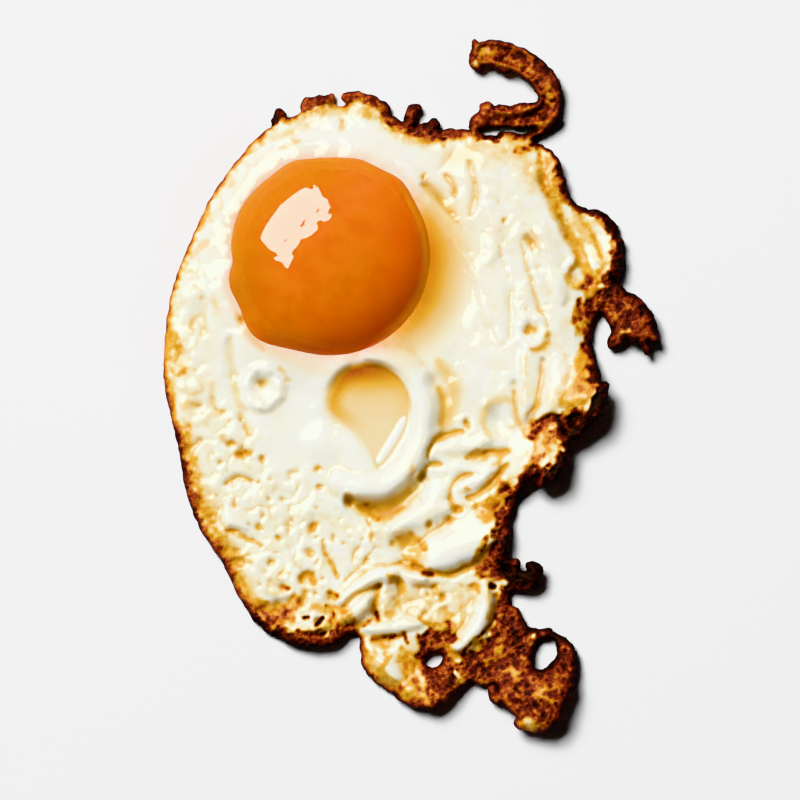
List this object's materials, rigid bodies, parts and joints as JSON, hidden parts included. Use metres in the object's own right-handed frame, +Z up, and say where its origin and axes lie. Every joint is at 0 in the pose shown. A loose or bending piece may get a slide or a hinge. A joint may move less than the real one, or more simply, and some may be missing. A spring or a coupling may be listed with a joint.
{
  "type": "fried egg",
  "caption": "Fried egg, sunny side up: a domed yolk set in a thin uneven white with folds, a runny pool, holes, a hook and a curl along its crisp browned edge.",
  "frame": {"origin": "the middle of the bounding box's underside, on the plane that the egg lies on", "axes": "+Z up, out of the yolk; +Y along the egg's length, from the crisp lobe towards the yolk end; +X towards the side with the crisp arm"},
  "size_m": [0.098, 0.137, 0.018],
  "materials": {
    "set_white": "moist set egg white, cream to white, with a golden to dark brown crisp edge",
    "runny_yolk": "glossy bright orange yolk under a thin clear film"
  },
  "bodies": {
    "root": {"egg_white": "set_white", "egg_yolk": "runny_yolk"}
  },
  "joints": []
}
